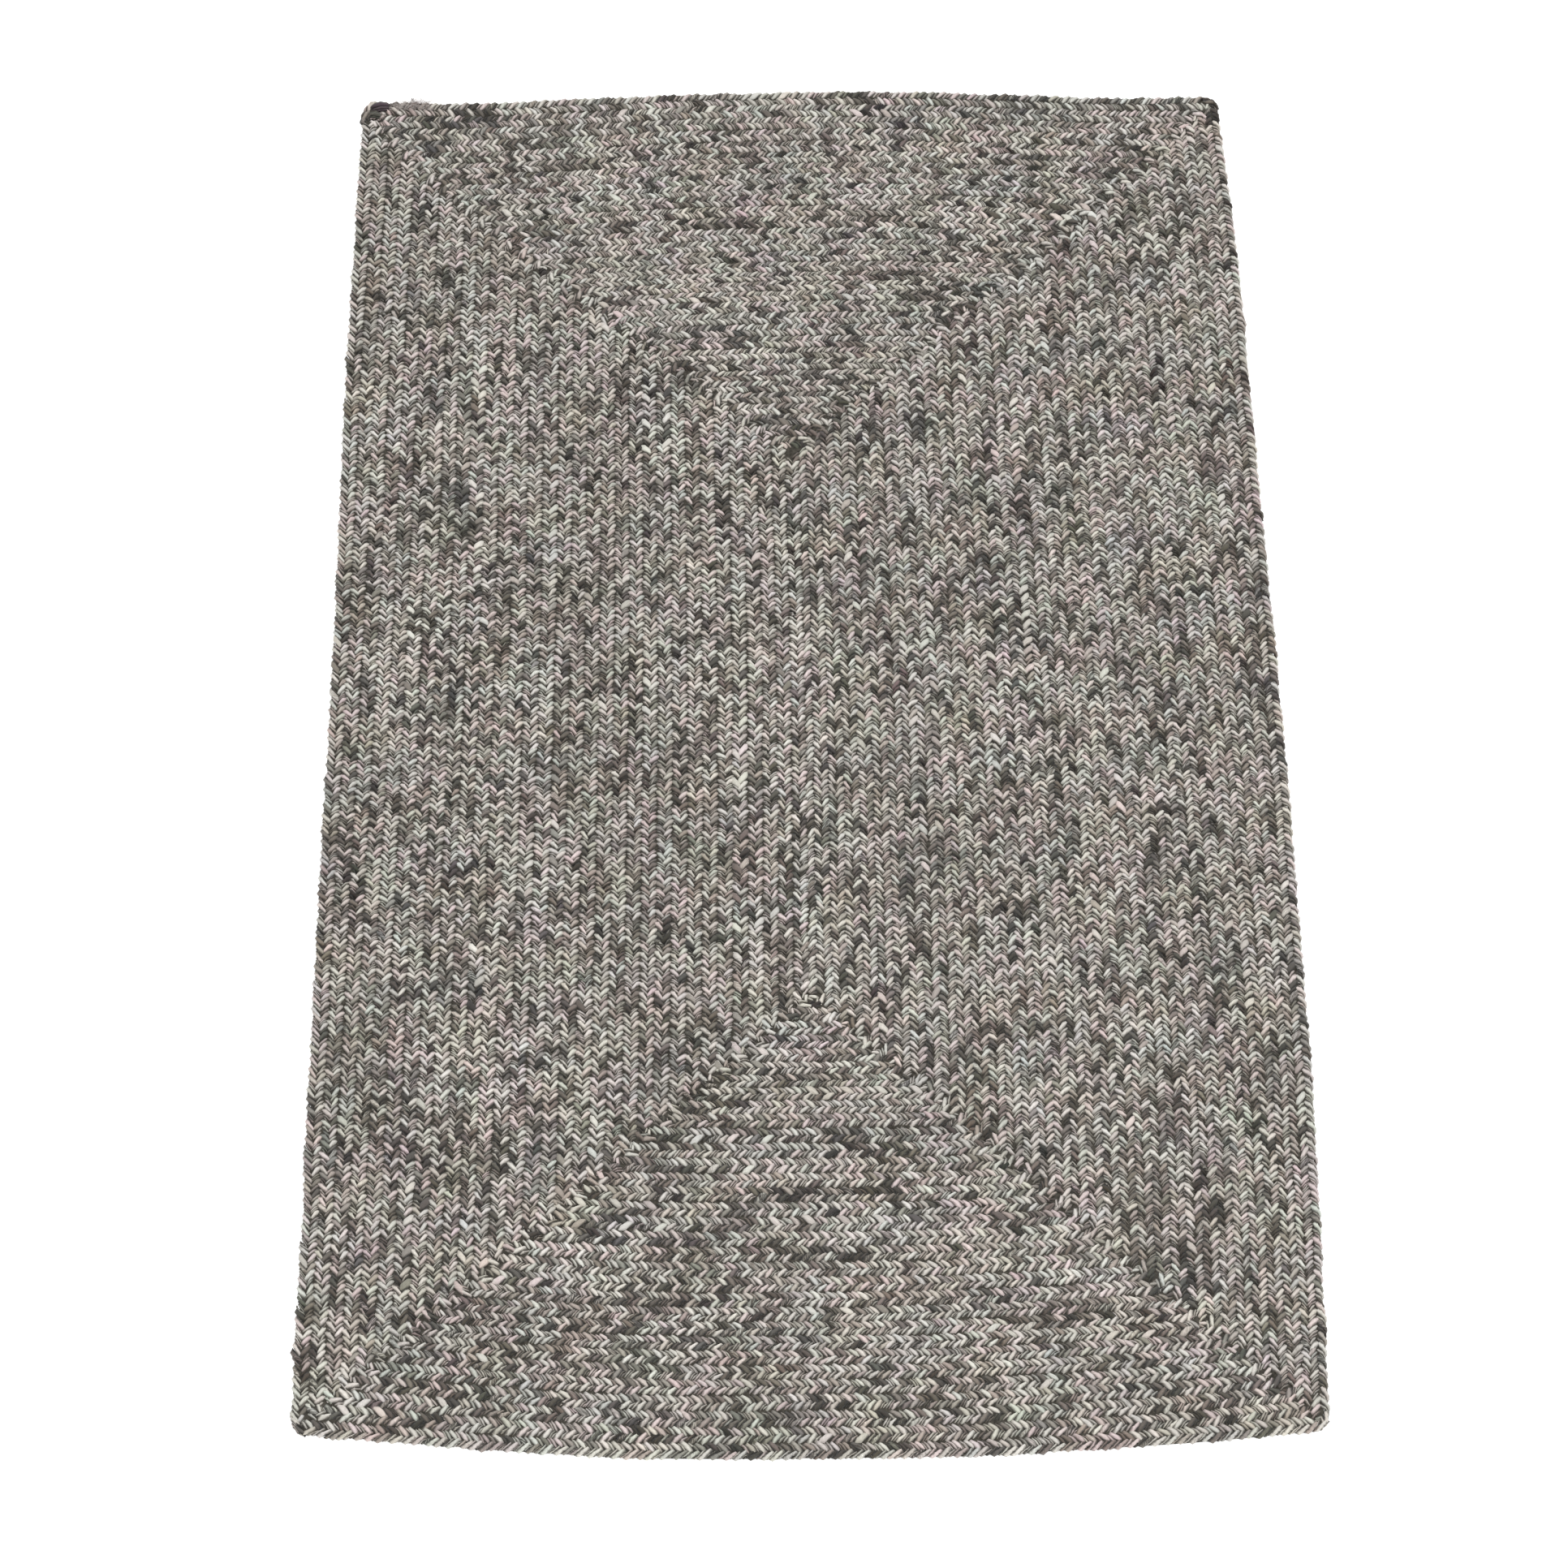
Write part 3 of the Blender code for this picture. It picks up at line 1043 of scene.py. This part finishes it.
# The heart of the braid
#
# Inside the braid the strands cross and press together into a firm layer. From above it
# shows only at the bottom of the gaps, where its colour is painted dark with their shade,
# and it carries the whole rug's shape.

HEART_INSET = 2.7 * MM
HEART_CORNER = 12 * MM
HEART_LOW = 0.5 * MM
HEART_HIGH = 5.2 * MM
HEART_RINGS = 8


def heart_mesh():
    """A closed flat sheet: rings of points from the rim to the middle, above and below."""
    outline = true_outline(HEART_INSET)
    # The corners are rounded: each point there is drawn in to the arc.
    hub = np.array([RUG_WIDTH, RUG_LENGTH]) / 2 - HEART_INSET - HEART_CORNER
    beyond = (abs(outline) - hub).clip(0)
    far = np.linalg.norm(beyond, axis=1).clip(HEART_CORNER)[:, None]
    outline = np.sign(outline) * (np.minimum(abs(outline), hub) + beyond * HEART_CORNER / far)
    around = len(outline)
    levels = np.linspace(1, 0, HEART_RINGS, endpoint=False)
    flat = np.concatenate([settled(outline * level) for level in levels] + [settled([(0, 0)])])
    sheet = len(flat)
    verts = [np.column_stack([flat, np.full(sheet, z)]) for z in (HEART_HIGH, HEART_LOW)]
    faces = []
    for step in range(around):
        a, b = step, (step + 1) % around
        faces.append((a + sheet, b + sheet, b, a))
        for ring in range(HEART_RINGS):
            base = ring * around
            face = [a + base, b + base, b + base + around, a + base + around]
            if ring == HEART_RINGS - 1:
                face = [a + base, b + base, sheet - 1]
            faces.append(face)
            faces.append([sheet + corner for corner in reversed(face)])
    mesh = bpy.data.meshes.new("braid_heart")
    mesh.from_pydata(np.concatenate(verts), [], faces)
    return mesh


# Packed wool yarn, pressed flat: matt, mottled like the yarns above it, and painted dark
# with the shade at the bottom of the gaps.
HEART_WOOL_IN_PAINTED_SHADE = "#45423c"
HEART_MOTTLE_MM = 3
HEART_LEVELS = (0.6, 1.3)
HEART_RAMP = (0.35, 0.65)
HEART_DETAIL = 2.0
HEART_ROUGHNESS = 1.0
HEART_SPECULAR = 0.1


def heart_material():
    material = bpy.data.materials.new("Packed wool yarn")
    material.use_nodes = True
    tree = material.node_tree
    shader = tree.nodes["Principled BSDF"]
    place = add_node(tree, "ShaderNodeTexCoord")
    scale = 1 / (HEART_MOTTLE_MM * MM)
    mottle = add_node(
        tree,
        "ShaderNodeTexNoise",
        {"Vector": place.outputs["Object"], "Scale": scale, "Detail": HEART_DETAIL},
    )
    tone = add_node(tree, "ShaderNodeValToRGB", {"Fac": mottle.outputs["Fac"]})
    for element, position, level in zip(tone.color_ramp.elements, HEART_RAMP, HEART_LEVELS):
        element.position = position
        element.color = (*(level * linear(srgb_of(HEART_WOOL_IN_PAINTED_SHADE))), 1)
    tree.links.new(tone.outputs["Color"], shader.inputs["Base Color"])
    shader.inputs["Roughness"].default_value = HEART_ROUGHNESS
    shader.inputs["Specular IOR Level"].default_value = HEART_SPECULAR
    return material


heart = bpy.data.objects.new("braid_heart", heart_mesh())
heart.data.materials.append(heart_material())
cover(heart)


# The floor, the light and the camera
#
# A plain white floor, lit softly from all round and from both sides, and from below as a
# light table is, so that no shadow shows round the rug.

FLOOR_HALF = 20.0
FLOOR_COLOUR = "#f7f7f6"
FLOOR_ROUGHNESS = 0.9
FLOOR_SPECULAR = 0.1
FLOOR_GLOW = 0.4

bpy.ops.mesh.primitive_plane_add(size=2 * FLOOR_HALF, location=(0, 0, 0))
floor = bpy.context.object
floor.name = "floor"
floor_paint = bpy.data.materials.new("Pale matt floor")
floor_paint.use_nodes = True
floor_shader = floor_paint.node_tree.nodes["Principled BSDF"]
floor_shader.inputs["Base Color"].default_value = (*linear(srgb_of(FLOOR_COLOUR)), 1)
floor_shader.inputs["Roughness"].default_value = FLOOR_ROUGHNESS
floor_shader.inputs["Specular IOR Level"].default_value = FLOOR_SPECULAR
floor_shader.inputs["Emission Color"].default_value = (1, 1, 1, 1)
floor_shader.inputs["Emission Strength"].default_value = FLOOR_GLOW
floor.data.materials.append(floor_paint)

WORLD_LEVEL = 0.62
world = bpy.data.worlds.new("Soft studio")
world.use_nodes = True
world.node_tree.nodes["Background"].inputs["Color"].default_value = (1, 1, 1, 1)
world.node_tree.nodes["Background"].inputs["Strength"].default_value = WORLD_LEVEL
bpy.context.scene.world = world

# Each lamp's place, its width in metres and its power in watts.
LAMPS = (
    ("left lamp", (-1.9, 1.3, 2.4), 1.2, 22.0),
    ("right lamp", (1.9, 1.3, 2.4), 1.2, 31.0),
    ("front lamp", (0.0, -2.2, 2.6), 1.2, 45.0),
)
for name, spot, width, power in LAMPS:
    lamp = bpy.data.lights.new(name, "AREA")
    lamp.size = width
    lamp.energy = power
    holder = bpy.data.objects.new(name, lamp)
    holder.location = spot
    holder.rotation_euler = (-Vector(spot)).to_track_quat("-Z", "Y").to_euler()
    bpy.context.scene.collection.objects.link(holder)

CAMERA_PLACE = Vector((-0.0715, -2.2870, 3.5354))
CAMERA_TURN = Vector((31.976, -0.6186, -0.3975))
LENS_MM = 101.21
SENSOR_MM = 36.0

camera_data = bpy.data.cameras.new("camera")
camera_data.lens = LENS_MM
camera_data.sensor_width = SENSOR_MM
camera = bpy.data.objects.new("camera", camera_data)
turn = Matrix.Rotation(np.radians(CAMERA_TURN.length), 4, CAMERA_TURN.normalized())
camera.matrix_world = Matrix.Translation(CAMERA_PLACE) @ turn
bpy.context.scene.collection.objects.link(camera)
bpy.context.scene.camera = camera

bpy.context.scene.view_settings.view_transform = "Standard"
bpy.context.scene.view_settings.look = "None"
